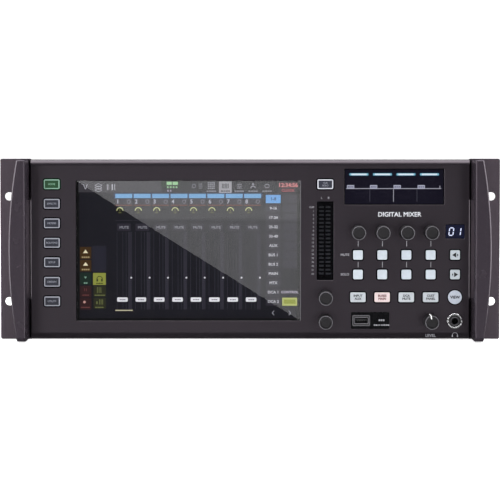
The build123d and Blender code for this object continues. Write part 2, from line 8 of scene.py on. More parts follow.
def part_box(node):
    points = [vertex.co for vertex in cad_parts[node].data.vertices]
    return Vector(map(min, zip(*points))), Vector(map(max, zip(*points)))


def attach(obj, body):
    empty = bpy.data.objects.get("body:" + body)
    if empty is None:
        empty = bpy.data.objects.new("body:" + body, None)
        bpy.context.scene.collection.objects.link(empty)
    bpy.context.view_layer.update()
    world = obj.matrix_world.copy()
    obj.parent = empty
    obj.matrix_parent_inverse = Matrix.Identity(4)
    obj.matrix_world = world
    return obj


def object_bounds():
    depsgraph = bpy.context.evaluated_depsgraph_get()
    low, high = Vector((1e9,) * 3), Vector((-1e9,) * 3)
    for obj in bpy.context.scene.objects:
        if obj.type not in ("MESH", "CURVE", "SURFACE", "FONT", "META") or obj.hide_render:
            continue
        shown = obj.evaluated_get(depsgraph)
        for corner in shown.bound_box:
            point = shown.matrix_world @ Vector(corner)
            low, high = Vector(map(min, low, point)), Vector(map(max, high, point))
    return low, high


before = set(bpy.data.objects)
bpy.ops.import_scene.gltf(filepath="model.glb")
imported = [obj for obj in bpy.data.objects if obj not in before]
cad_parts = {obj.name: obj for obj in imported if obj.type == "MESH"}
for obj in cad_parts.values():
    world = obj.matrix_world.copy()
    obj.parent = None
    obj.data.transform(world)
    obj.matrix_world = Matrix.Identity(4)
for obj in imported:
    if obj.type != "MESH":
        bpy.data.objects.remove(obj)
cad_low, cad_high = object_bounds()

MM = 0.001
BODY = "chassis"


# ---- where things are, in millimetres of the row frame ----
def middle(node):
    low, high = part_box(node)
    return (low + high) / (2 * MM)


def extent(node):
    low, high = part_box(node)
    return (high - low) / MM


def lowest(node):
    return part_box(node)[0] / MM


def highest(node):
    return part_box(node)[1] / MM


PANEL_FACE = lowest("front_panel").y
PRINT_FRONT = PANEL_FACE - 0.02  # top of the ink on the panel
KEY_FACE = lowest("mute_key_1").y
EAR_FACE = lowest("rack_ear_left").y
COLUMNS = [middle(f"channel_encoder_{i}").x for i in range(1, 5)]
REAR = highest("rear_panel").y
KEYS = [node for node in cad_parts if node.endswith("_key") or "_key_" in node]
KNOBS = [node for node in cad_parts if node.endswith("_knob") or "_encoder_" in node]
KEY_FLANGE = 2.4  # how much wider a key is behind the panel than in its opening


# ---- colour ----
def srgb(red, green, blue):
    """Linear colour of an 8-bit display colour."""

    def linear(value):
        share = value / 255
        return share / 12.92 if share <= 0.04045 else ((share + 0.055) / 1.055) ** 2.4

    return (linear(red), linear(green), linear(blue), 1.0)


def scaled(colour, factor):
    return tuple(min(channel * factor, 1.0) for channel in colour[:3]) + (1.0,)


# ---- material building blocks ----
class Nodes:
    """A new node material with its Principled shader and short calls for the usual nodes."""

    def __init__(self, name):
        self.material = bpy.data.materials.new(name)
        self.material.use_nodes = True
        self.tree = self.material.node_tree
        self.shader = self.tree.nodes["Principled BSDF"]
        self.output = self.tree.nodes["Material Output"]
        self.place = self.add("ShaderNodeTexCoord").outputs["Object"]

    def add(self, kind, **settings):
        node = self.tree.nodes.new(kind)
        for key, value in settings.items():
            setattr(node, key, value)
        return node

    def link(self, source, target):
        self.tree.links.new(source, target)

    def feed(self, target, value):
        if isinstance(value, bpy.types.NodeSocket):
            self.link(value, target)
        else:
            target.default_value = value

    def noise(self, scale, detail=3.0, stretch=None):
        node = self.add("ShaderNodeTexNoise")
        node.inputs["Scale"].default_value = scale
        node.inputs["Detail"].default_value = detail
        vector = self.place
        if stretch:
            mapping = self.add("ShaderNodeMapping")
            mapping.inputs["Scale"].default_value = stretch
            self.link(self.place, mapping.inputs["Vector"])
            vector = mapping.outputs["Vector"]
        self.link(vector, node.inputs["Vector"])
        return node.outputs["Fac"]

    def ranged(self, value, low, high, source_low=0.3, source_high=0.7):
        node = self.add("ShaderNodeMapRange")
        self.link(value, node.inputs["Value"])
        node.inputs["From Min"].default_value = source_low
        node.inputs["From Max"].default_value = source_high
        node.inputs["To Min"].default_value = low
        node.inputs["To Max"].default_value = high
        return node.outputs["Result"]

    def math(self, operation, first, second=0.0):
        node = self.add("ShaderNodeMath", operation=operation)
        self.feed(node.inputs[0], first)
        self.feed(node.inputs[1], second)
        return node.outputs[0]

    def mix(self, share, first, second):
        node = self.add("ShaderNodeMix", data_type="RGBA")
        self.feed(node.inputs["Factor"], share)
        self.feed(node.inputs[6], first)
        self.feed(node.inputs[7], second)
        return node.outputs[2]

    def axes(self):
        node = self.add("ShaderNodeSeparateXYZ")
        self.link(self.place, node.inputs["Vector"])
        return node.outputs

    def relief(self, height, distance, edge=0.0):
        """Bump from a height, over edges that are rounded by the given radius."""
        bump = self.add("ShaderNodeBump")
        bump.inputs["Strength"].default_value = 1.0
        bump.inputs["Distance"].default_value = distance
        self.link(height, bump.inputs["Height"])
        if edge:
            bevel = self.add("ShaderNodeBevel", samples=4)
            bevel.inputs["Radius"].default_value = edge
            self.link(bevel.outputs["Normal"], bump.inputs["Normal"])
        self.link(bump.outputs["Normal"], self.shader.inputs["Normal"])

    def set(self, **inputs):
        for name, value in inputs.items():
            self.feed(self.shader.inputs[name.replace("_", " ")], value)
        return self.material


def powder_coat(name, colour, rough=0.42, grain=900.0, depth=0.00002, edge=0.0004, specular=0.5):
    """Satin textured paint: fine orange peel, slight tone drift, edges worn a little smoother."""
    n = Nodes(name)
    drift = n.ranged(n.noise(9.0), 0.0, 1.0)
    base = n.mix(drift, scaled(colour, 0.95), scaled(colour, 1.05))
    speckle = n.ranged(n.noise(grain * 1.7, 2.0), 0.0, 0.35, 0.5, 0.75)
    base = n.mix(speckle, base, scaled(colour, 1.9))
    n.relief(n.noise(grain, 4.0), depth, edge)
    n.set(Roughness=n.ranged(n.noise(60.0, 5.0), rough - 0.015, rough + 0.015))
    return n.set(Base_Color=base, Specular_IOR_Level=specular, Specular_Tint=(1.0, 0.86, 1.0, 1.0))


def moulded(name, colour, rough=0.4, glow=None, power=0.0, specular=0.5):
    """Moulded plastic: very fine spark texture and cloudy tone, glowing if glow is given: backlight in the
    keys, painted light in the green key ring and the unlit meter segments.
    """
    n = Nodes(name)
    cloud = n.ranged(n.noise(220.0, 3.0), 0.0, 1.0)
    base = n.mix(cloud, scaled(colour, 0.93), scaled(colour, 1.05))
    n.relief(n.noise(1400.0, 2.0), 0.000012, 0.0003)
    gloss = n.ranged(n.noise(300.0, 4.0), rough - 0.06, rough + 0.06)
    if glow:
        lit = n.mix(cloud, scaled(glow, 0.94), scaled(glow, 1.04))
        n.set(Emission_Color=lit, Emission_Strength=power)
    return n.set(Base_Color=base, Roughness=gloss, Specular_IOR_Level=specular)


def metal(name, colour, rough=0.25, edge=0.0003, brushing=(1.0, 1.0, 40.0)):
    """Bare or plated metal with fine drawn lines and a little tarnish."""
    n = Nodes(name)
    lines = n.noise(700.0, 4.0, stretch=brushing)
    tarnish = n.ranged(n.noise(40.0, 4.0), 0.0, 1.0)
    base = n.mix(tarnish, scaled(colour, 0.85), scaled(colour, 1.08))
    n.relief(lines, 0.000006, edge)
    gloss = n.ranged(lines, rough - 0.07, rough + 0.1)
    return n.set(Base_Color=base, Roughness=gloss, Metallic=1.0)


def rubber(name, colour):
    """Soft-touch knob cover: dull, with a dusty bloom."""
    n = Nodes(name)
    bloom = n.ranged(n.noise(500.0, 5.0), 0.0, 1.0, 0.35, 0.75)
    base = n.mix(bloom, colour, scaled(colour, 1.7))
    n.relief(n.noise(1800.0, 2.0), 0.00001, 0.0003)
    return n.set(Base_Color=base, Roughness=n.ranged(bloom, 0.42, 0.56, 0.0, 1.0), Specular_IOR_Level=0.5)


PIXEL_WAVE = 2400.0 * math.tau  # 2400 pixel waves to the metre


def lit_pixels(name, colour, power):
    """Lit display area: an emitter with a faint pixel grid and a slow brightness drift."""
    n = Nodes(name)
    x, _, z = n.axes()
    waves = [n.math("SINE", n.math("MULTIPLY", axis, PIXEL_WAVE)) for axis in (x, z)]
    grid = n.ranged(n.math("MULTIPLY", *waves), 0.96, 1.04, -1.0, 1.0)
    drift = n.ranged(n.noise(14.0, 2.0), 0.94, 1.06)
    shine = n.math("MULTIPLY", n.math("MULTIPLY", grid, drift), power)
    n.set(Emission_Color=colour, Emission_Strength=shine)
    return n.set(Base_Color=(0.004, 0.004, 0.005, 1.0), Roughness=0.4, Specular_IOR_Level=0.1)


def ink(name, colour, glow=0.0):
    """Screen-printed ink, slightly uneven, with glow as emission: painted light for print on the panel, rear
    and knob, the keys' backlight for key legends.
    """
    n = Nodes(name)
    wear = n.ranged(n.noise(900.0, 3.0), 0.0, 1.0)
    base = n.mix(wear, scaled(colour, 0.88), colour)
    n.relief(n.noise(2500.0, 2.0), 0.000004)
    n.set(Emission_Color=base, Emission_Strength=glow)
    return n.set(Base_Color=base, Roughness=0.5)


def clear_pane(name, tint, mirror_share=0.04):
    """Clear cover: tinted see-through body under a mirror-like skin, stronger in slanting views."""
    n = Nodes(name)
    smear = n.ranged(n.noise(7.0, 5.0), 0.004, 0.006, 0.4, 0.8)
    through = n.add("ShaderNodeBsdfTransparent")
    through.inputs["Color"].default_value = tint
    mirror = n.add("ShaderNodeBsdfGlossy")
    n.link(smear, mirror.inputs["Roughness"])
    slope = n.add("ShaderNodeLayerWeight")
    slope.inputs["Blend"].default_value = 0.5
    grazing = n.math("POWER", slope.outputs["Facing"], 5.0)
    share = n.math("ADD", n.math("MULTIPLY", grazing, 1.0 - mirror_share), mirror_share)
    blend = n.add("ShaderNodeMixShader")
    n.link(share, blend.inputs["Fac"])
    n.link(through.outputs[0], blend.inputs[1])
    n.link(mirror.outputs[0], blend.inputs[2])
    n.link(blend.outputs[0], n.output.inputs["Surface"])
    return n.material


def framed_key(name, node, rim_colour, core_colour, glow, rim=1.0):
    """Key cap with a light printed border round a dark centre."""
    n = Nodes(name)
    centre, size = middle(node), extent(node)
    x, _, z = n.axes()
    half_x = ((size.x - KEY_FLANGE) / 2 - rim) * MM
    half_z = ((size.z - KEY_FLANGE) / 2 - rim) * MM
    off_x = n.math("ABSOLUTE", n.math("SUBTRACT", x, centre.x * MM))
    off_z = n.math("ABSOLUTE", n.math("SUBTRACT", z, centre.z * MM))
    inside = n.math("MULTIPLY", n.math("LESS_THAN", off_x, half_x), n.math("LESS_THAN", off_z, half_z))
    cloud = n.ranged(n.noise(260.0, 3.0), 0.0, 1.0)
    core = n.mix(cloud, scaled(core_colour, 0.85), scaled(core_colour, 1.15))
    edge = n.mix(cloud, scaled(rim_colour, 0.92), rim_colour)
    face = n.mix(inside, edge, core)
    n.relief(n.noise(1400.0, 2.0), 0.00001, 0.0003)
    n.set(Emission_Color=face, Emission_Strength=glow)
    return n.set(Base_Color=face, Roughness=n.ranged(n.noise(300.0), 0.3, 0.42))


def circuit(name):
    """Green board with copper traces under the solder mask."""
    n = Nodes(name)
    traces = n.add("ShaderNodeTexVoronoi", feature="DISTANCE_TO_EDGE", distance="MANHATTAN")
    traces.inputs["Scale"].default_value = 160.0
    n.link(n.place, traces.inputs["Vector"])
    copper = n.math("LESS_THAN", traces.outputs["Distance"], 0.08)
    base = n.mix(copper, (0.01, 0.07, 0.03, 1.0), (0.03, 0.16, 0.06, 1.0))
    n.relief(copper, 0.00003)
    return n.set(Base_Color=base, Roughness=n.ranged(n.noise(80.0), 0.25, 0.4))


# ---- mesh building blocks: outlines are lists of (x, z) seen from the front, anticlockwise ----
def rounded(x, z, width, height, corner=0.0, steps=4):
    if corner <= 0:
        w, h = width / 2, height / 2
        return [(x - w, z - h), (x + w, z - h), (x + w, z + h), (x - w, z + h)]
    points = []
    for quarter, (sx, sz) in enumerate(((1, 1), (-1, 1), (-1, -1), (1, -1))):
        cx, cz = x + sx * (width / 2 - corner), z + sz * (height / 2 - corner)
        for step in range(steps + 1):
            angle = math.radians(90 * quarter + 90 * step / steps)
            points.append((cx + corner * math.cos(angle), cz + corner * math.sin(angle)))
    return points


def disc(x, z, radius, steps=32):
    return [
        (x + radius * math.cos(math.tau * i / steps), z + radius * math.sin(math.tau * i / steps))
        for i in range(steps)
    ]


def arc_band(x, z, inner, outer, start, end, steps=18):
    angles = [math.radians(start + (end - start) * i / steps) for i in range(steps + 1)]
    outside = [(x + outer * math.cos(a), z + outer * math.sin(a)) for a in angles]
    inside = [(x + inner * math.cos(a), z + inner * math.sin(a)) for a in reversed(angles)]
    return outside + inside


def slanted(points, about_z, lean):
    """Leans an outline to the right by lean for each unit of height."""
    return [(x + (z - about_z) * lean, z) for x, z in points]


def inset(points, distance):
    """Outline moved inwards by a distance, along its corners' bisectors."""
    moved = []
    count = len(points)
    for i, point in enumerate(points):
        here = Vector(point)
        before = (here - Vector(points[i - 1])).normalized()
        after = (Vector(points[(i + 1) % count]) - here).normalized()
        normal = Vector((-before.y - after.y, before.x + after.x))
        normal.normalize()
        moved.append(tuple(here + normal * distance))
    return moved


def mesh_object(name, mesh, material):
    """Object made of a finished bmesh, with its one material."""
    data = bpy.data.meshes.new(name)
    mesh.to_mesh(data)
    mesh.free()
    data.materials.append(material)
    return bpy.data.objects.new(name, data)


def placed(piece, body):
    bpy.context.scene.collection.objects.link(piece)
    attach(piece, body)


class Relief:
    """Collects shapes swept along Y into one mesh, drawn in millimetres of the row frame."""

    def __init__(self):
        self.mesh = bmesh.new()

    def prism(self, outline, front, back, bevel=0.0):
        """Closed solid of an outline. front is the end whose edge is bevelled; it may face either way."""
        toward_front = front < back
        rings = [(inset(outline, bevel), front)] if bevel else []
        step = bevel if toward_front else -bevel
        rings += [(outline, front + step), (outline, back)]
        made = [[self.mesh.verts.new((x, y, z)) for x, z in ring] for ring, y in rings]
        count = len(outline)
        for near, far in zip(made, made[1:]):
            for i in range(count):
                j = (i + 1) % count
                quad = (near[i], far[i], far[j], near[j])
                self.mesh.faces.new(quad if toward_front else quad[::-1])
        for cap in (made[0], made[-1][::-1]):
            self.mesh.faces.new(cap if toward_front else cap[::-1])
        return self

    def box(self, x, z, width, height, front, back, corner=0.0, bevel=0.0):
        return self.prism(rounded(x, z, width, height, corner), front, back, bevel)

    def skin(self, loops, smooth=False):
        """Faces between each closed loop of points and the next, and from the last to the first."""
        made = [[self.mesh.verts.new(point) for point in loop] for loop in loops]
        for near, far in zip(made, made[1:] + made[:1]):
            for i in range(len(near)):
                j = (i + 1) % len(near)
                self.mesh.faces.new((near[i], near[j], far[j], far[i])).smooth = smooth
        return self

    def frame(self, x, z, width, height, border, corner, front, back):
        """Rectangular ring round an opening of the given size."""
        inner = rounded(x, z, width, height, corner)
        outer = rounded(x, z, width + 2 * border, height + 2 * border, corner + border)
        rings = ((inner, back), (inner, front), (outer, front), (outer, back))
        return self.skin([[(px, y, pz) for px, pz in outline] for outline, y in rings])

    def tube(self, x, z, inner, outer, front, back, steps=40):
        """Ring with a bevelled end face."""
        bevel = min(0.25, (outer - inner) / 4)
        shoulder = front + (bevel if front < back else -bevel)
        profile = [
            (inner, back),
            (inner, shoulder),
            (inner + bevel, front),
            (outer - bevel, front),
            (outer, shoulder),
            (outer, back),
        ]
        turns = [math.tau * i / steps for i in range(steps)]
        return self.skin(
            [[(x + r * math.cos(turn), y, z + r * math.sin(turn)) for r, y in profile] for turn in turns]
        )

    def finish(self, name, material, body=BODY):
        bmesh.ops.scale(self.mesh, vec=(MM, MM, MM), verts=self.mesh.verts)
        bmesh.ops.recalc_face_normals(self.mesh, faces=self.mesh.faces)
        placed(mesh_object(name, self.mesh, material), body)

    def glowing(self, name, colour, power=1.0):
        """Finishes the shapes as a lit area of a display, in an 8-bit colour."""
        self.finish(name, lit_pixels(f"{name}_light", srgb(*colour), power))


FONT_SIZE = 1.38  # the built-in font's size for a capital height of one


def lettering(name, entries, height, front, material, body=BODY, align="CENTER", bold=0.03, behind=False):
    """Raised characters from (text, x, z) entries in one mesh, their strokes thickened by bold."""
    turn = Matrix.Rotation(math.radians(90), 4, "X")
    if behind:
        turn = Matrix.Rotation(math.pi, 4, "Z") @ turn
    joined = bmesh.new()
    for text, x, z in entries:
        curve = bpy.data.curves.new(name + "_text", "FONT")
        curve.body = text
        curve.align_x = align
        curve.align_y = "CENTER"
        curve.size = height * FONT_SIZE * MM
        curve.bevel_depth = bold * height * MM
        curve.bevel_resolution = 0
        curve.resolution_u = 3
        figure = bpy.data.objects.new(name + "_text", curve)
        bpy.context.scene.collection.objects.link(figure)
        bpy.context.view_layer.update()
        data = bpy.data.meshes.new_from_object(figure)
        data.transform(Matrix.Translation(Vector((x, front, z)) * MM) @ turn)
        joined.from_mesh(data)
        bpy.data.objects.remove(figure)
        bpy.data.curves.remove(curve)
        bpy.data.meshes.remove(data)
    placed(mesh_object(name, joined, material), body)


def mark_row(relief, x, z, width, height, widths, front, back):
    """A row of plain blocks that stands for a printed word without spelling one."""
    gap = 0.32 * height
    unit = (width - gap * (len(widths) - 1)) / sum(widths)
    left = x - width / 2
    for share in widths:
        block = share * unit
        relief.box(left + block / 2, z, block, height, front, back)
        left += block + gap


# ---- materials ----
panel_paint = powder_coat("panel_paint", srgb(26, 23, 27), rough=0.3, specular=0.6)
case_paint = powder_coat("case_paint", srgb(34, 33, 36), rough=0.45, specular=0.4)
ear_paint = powder_coat("ear_paint", srgb(61, 54, 60), rough=0.42, specular=0.45)
handle_paint = powder_coat(
    "handle_paint", srgb(40, 35, 41), rough=0.26, grain=700.0, edge=0.0005, specular=0.42
)
screw_metal = metal("screw_metal", (0.08, 0.08, 0.085, 1.0), rough=0.35)
usb_metal = metal("usb_metal", (0.16, 0.155, 0.17, 1.0), rough=0.35)
plated = metal("plated", (0.42, 0.42, 0.44, 1.0), rough=0.3)
chrome = metal("chrome", (0.82, 0.82, 0.84, 1.0), rough=0.12, brushing=(1.0, 40.0, 1.0))
black_plastic = moulded("black_plastic", (0.012, 0.012, 0.013, 1.0), rough=0.42)
connector_black = moulded("connector_black", (0.016, 0.016, 0.018, 1.0), rough=0.36)
gloss_black = moulded("gloss_black", (0.004, 0.004, 0.005, 1.0), rough=0.28, specular=0.06)
knob_rubber = rubber("knob_rubber", (0.006, 0.005, 0.007, 1.0))
# near-black: the dark joint beside the glass, and painted shade round the keys and beside the panel
joint_and_shade_black = moulded("joint_and_shade_black", (0.001, 0.001, 0.002, 1.0), rough=0.85, specular=0.1)
# dark green and glowing: painted shade and a painted spill of light round the lit key
shade_and_green_spill = moulded("shade_and_green_spill", srgb(4, 22, 12), rough=0.8, glow=srgb(4, 28, 14), power=0.5, specular=0.1)
# light grey: the USB mouth rims, and painted highlights on the glass edge and on each knob's rim
rim_and_highlight_plastic = moulded("rim_and_highlight_plastic", srgb(112, 110, 116), rough=0.3)
collar_grey = moulded("collar_grey", srgb(40, 39, 42), rough=0.4)
# light, dim and white ink glow with painted light; menu and green ink glow with the keys' backlight
light_ink_painted_glow = ink("light_ink_painted_glow", srgb(200, 202, 208), glow=0.35)
dim_ink_painted_glow = ink("dim_ink_painted_glow", srgb(142, 141, 148), glow=0.3)
menu_ink = ink("menu_ink", srgb(130, 132, 144), glow=0.3)
green_ink = ink("green_ink", srgb(120, 164, 138), glow=0.3)
white_ink_painted_glow = ink("white_ink_painted_glow", srgb(240, 240, 240), glow=0.5)
dark_ink = ink("dark_ink", srgb(6, 8, 16))
red_ink = ink("red_ink", srgb(104, 22, 18))
key_white = moulded("key_white", srgb(168, 175, 183), glow=srgb(169, 178, 187), power=0.35)
key_wide = moulded("key_wide", srgb(163, 168, 173), glow=srgb(165, 170, 177), power=0.34)
key_grey = moulded("key_grey", srgb(154, 161, 167), glow=srgb(156, 163, 170), power=0.36)
key_peach = moulded("key_peach", srgb(189, 173, 173), glow=srgb(194, 177, 177), power=0.4)
key_round = moulded("key_round", srgb(155, 161, 172), glow=srgb(155, 162, 174), power=0.39)
board_green = circuit("board_green")
supply_steel = metal("supply_steel", (0.5, 0.5, 0.5, 1.0), rough=0.35)
screen_pane = clear_pane("screen_pane", (0.96, 0.96, 0.97, 1.0))
smoked_pane = clear_pane("smoked_pane", (0.8, 0.8, 0.84, 1.0), mirror_share=0.022)

FINISHES = (
    (panel_paint, "front_panel"),
    (case_paint, "chassis_tray top_cover rear_panel"),
    (ear_paint, "rack_ear_left rack_ear_right"),
    (handle_paint, "handle_left handle_right"),
    (screw_metal, "handle_screws case_screws"),
    (plated, "encoder_bodies network_ports"),
    (screen_pane, "touch_glass"),
    (smoked_pane, "strip_window meter_window"),
    (gloss_black, "lcd_module strip_display meter_leds digit_display usb_bezel power_rocker"),
    (collar_grey, "usb_socket"),
    (black_plastic, "phones_jack mains_inlet"),
    (chrome, "phones_nut"),
    (board_green, "control_board main_board"),
    (supply_steel, "power_supply"),
    (connector_black, "xlr_inputs xlr_outputs"),
    (key_round, "view_key"),
    (key_grey, "page_left_key page_right_key"),
    (key_wide, "function_key_1 function_key_3 function_key_4"),
    (key_peach, "function_key_2"),
)
NODE_MATERIALS = {node: finish for finish, nodes in FINISHES for node in nodes.split()}
NODE_MATERIALS.update((node, knob_rubber) for node in KNOBS)
LIT_MENU_KEY = "menu_key_1"
NODE_MATERIALS[LIT_MENU_KEY] = framed_key(
    "key_lit_green", LIT_MENU_KEY, srgb(108, 142, 125), srgb(8, 54, 24), glow=0.45
)
for number in range(2, 8):
    node = f"menu_key_{number}"
    NODE_MATERIALS[node] = framed_key(
        f"key_menu_{number}", node, srgb(130, 132, 142), srgb(24, 26, 38), glow=0.4
    )
NODE_MATERIALS["clear_key"] = framed_key(
    "key_clear", "clear_key", srgb(170, 172, 181), srgb(30, 32, 44), glow=0.45
)

for node, cad_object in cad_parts.items():
    cad_object.data.materials.clear()
    cad_object.data.materials.append(NODE_MATERIALS.get(node, key_white))


# ---- touch screen picture ----
UI_BACK = lowest("lcd_module").y
UI_STEP = 0.05
SCREEN_WIDTH = 216.0
SCREEN_HEIGHT = 135.2
SCREEN_LEFT = middle("touch_glass").x - SCREEN_WIDTH / 2 - 0.3
SCREEN_TOP = middle("touch_glass").z + SCREEN_HEIGHT / 2
GLASS_WIDTH = 215.3
STRIP_LEFT = 37.7
STRIP_PITCH = 17.78
STRIP_WIDTH = 16.3
STRIP_LEFTS = [STRIP_LEFT + STRIP_PITCH * i for i in range(8)]
DIAL = (4.4, 29.0)  # a strip's pan dial: right of the strip's left edge, down from the screen's top
DIAL_RADIUS = 3.2
TRACK_TOP = 49.6
TRACK_LENGTH = 75.0
LIST_PITCH = 9.03
LIST_TOP = 13.7
BANKS = "1-8,9-16,17-24,25-32,33-40,AUX,BUS 1,BUS 2,MAIN,MTX,DCA 1,DCA 2".split(",")


def screen_layer(level):
    """Front and back of a picture layer: higher levels lie nearer the glass."""
    back = UI_BACK - UI_STEP * level
    return back - UI_STEP * 0.8, back


class Picture(Relief):
    """A layer of the screen picture, placed by distances right and down from its top left corner."""

    def __init__(self, level):
        super().__init__()
        self.front, self.back = screen_layer(level)

    def tile(self, right, down, width, height, corner=0.0):
        x = SCREEN_LEFT + right + width / 2
        z = SCREEN_TOP - down - height / 2
        return self.box(x, z, width, height, self.front, self.back, corner)

    def dot(self, right, down, radius, steps=16):
        return self.prism(disc(SCREEN_LEFT + right, SCREEN_TOP - down, radius, steps), self.front, self.back)

    def shape(self, points):
        outline = [(SCREEN_LEFT + right, SCREEN_TOP - down) for right, down in points]
        return self.prism(outline, self.front, self.back)

    def arc(self, right, down, inner, outer, start, end):
        band = arc_band(SCREEN_LEFT + right, SCREEN_TOP - down, inner, outer, start, end)
        return self.prism(band, self.front, self.back)

    def word(self, right, down, width, height, widths):
        x, z = SCREEN_LEFT + right, SCREEN_TOP - down
        mark_row(self, x, z, width, height, widths, self.front, self.back)
        return self

    def lit(self, name, *colour):
        self.glowing(f"screen_{name}", colour)


def screen_text(name, entries, height, level, *colour):
    """Characters on the screen from (text, right, down) entries."""
    spots = [(text, SCREEN_LEFT + right, SCREEN_TOP - down) for text, right, down in entries]
    material = lit_pixels(f"screen_{name}_light", srgb(*colour), 1.0)
    lettering(f"screen_{name}", spots, height, screen_layer(level)[0], material)


def screen_background():
    Picture(0).tile(3.0, 0.3, 209.8, 132.8).lit("background", 11, 10, 20)

    panels = Picture(1)
    for left in STRIP_LEFTS:
        panels.tile(left, 17.3, STRIP_WIDTH, 5.7)
        panels.tile(left + 1.6, 41.4, 13.2, 7.0, 0.6)
        panels.tile(left + STRIP_WIDTH - 3.6, TRACK_TOP, 3.2, TRACK_LENGTH)
    for row in range(len(BANKS)):
        panels.tile(183.1, LIST_TOP + LIST_PITCH * row, 14.3, 7.8, 0.3)
        if row < 8:
            panels.tile(199.4, LIST_TOP + LIST_PITCH * row, 13.8, 7.8, 0.3)
    panels.lit("panels", 40, 38, 48)

    Picture(1).tile(2.2, 0.4, 80.0, 10.8).lit("menu_bar", 55, 53, 58)
    Picture(1).tile(36.0, 11.7, 144.0, 5.6).lit("cap_band", 10, 42, 78)


def screen_border():
    """Black seals beside the glass, and a light strip along its right edge: a painted highlight of the glass
    edge.
    """
    x, _, z = middle("touch_glass")
    proud, seal_width, line_width = 0.05, 0.8, 0.5
    reach = (GLASS_WIDTH + seal_width) / 2
    seal = Relief()
    for side in (-1, 1):
        seal.box(x + side * reach, z, seal_width, SCREEN_HEIGHT, PANEL_FACE - proud, PANEL_FACE + 0.2)
    seal.finish("screen_seal", joint_and_shade_black)
    front = PANEL_FACE - 2 * proud
    # painted highlight: light grey strip where the glass edge shines
    line = Relief().box(x + reach + 0.1, z, line_width, SCREEN_HEIGHT, front, front + proud)
    line.finish("screen_edge_highlight", rim_and_highlight_plastic)


def screen_strips():
    caps, rows, dials, lines, text = (Picture(2) for _ in range(5))
    arcs, ticks, faders, dots = (Picture(3) for _ in range(4))
    marks = Picture(4)
    for left in STRIP_LEFTS:
        caps.tile(left, 12.7, STRIP_WIDTH, 4.1)
        rows.tile(left, 23.3, STRIP_WIDTH, 0.7)
        dials.dot(left + DIAL[0], DIAL[1], DIAL_RADIUS, 28)
        arcs.arc(left + DIAL[0], DIAL[1], DIAL_RADIUS - 0.6, DIAL_RADIUS + 0.15, 0, 180)
        ticks.tile(left + 4.1, 27.2, 0.5, 2.6)
        ticks.tile(left + 3.0, 30.7, 2.8, 0.5)
        text.arc(left + 13.1, 20.1, 1.3, 1.8, -60, 240)
        text.tile(left + 12.0, 21.9, 2.2, 0.4)
        lines.tile(left, 38.2, STRIP_WIDTH, 0.3)
        for track in (1.4, 7.0, 10.2, 12.6):
            lines.tile(left + track, TRACK_TOP, 0.25, TRACK_LENGTH)
        for notch in range(8):
            lines.tile(left + 13.4, 96.5 + 2.0 * notch, 1.6, 0.5)
        faders.tile(left + 1.55, 112.9, 10.2, 4.2, 1.0)
        marks.word(left + 6.8, 115.1, 5.6, 0.9, (2, 1, 2, 2))
        dots.dot(left + 15.2, 93.8, 0.85)
    dials.lit("pan_dials", 16, 16, 10)
    ticks.lit("pan_ticks", 120, 124, 66)
    caps.lit("strip_caps", 108, 165, 210)
    rows.lit("strip_rules", 118, 60, 40)
    arcs.lit("pan_arcs", 214, 220, 150)
    lines.lit("lines", 60, 60, 72)
    faders.lit("faders", 236, 236, 240)
    marks.lit("fader_marks", 110, 110, 118)
    text.lit("strip_text", 130, 130, 140)
    dots.lit("level_dots", 232, 232, 238)

    numbers = [(str(i + 1), left + 2.4, 20.3) for i, left in enumerate(STRIP_LEFTS)]
    screen_text("strip_numbers", numbers, 3.9, 3, 176, 178, 190)
    words = [("MUTE", left + 8.4, 45.2) for left in STRIP_LEFTS]
    screen_text("strip_words", words, 2.5, 3, 146, 146, 154)
    rule = Picture(2).tile(STRIP_LEFT - 0.3, 125.0, 16.9, 0.95, 0.4)
    rule.lit("selected_rule", 214, 208, 172)


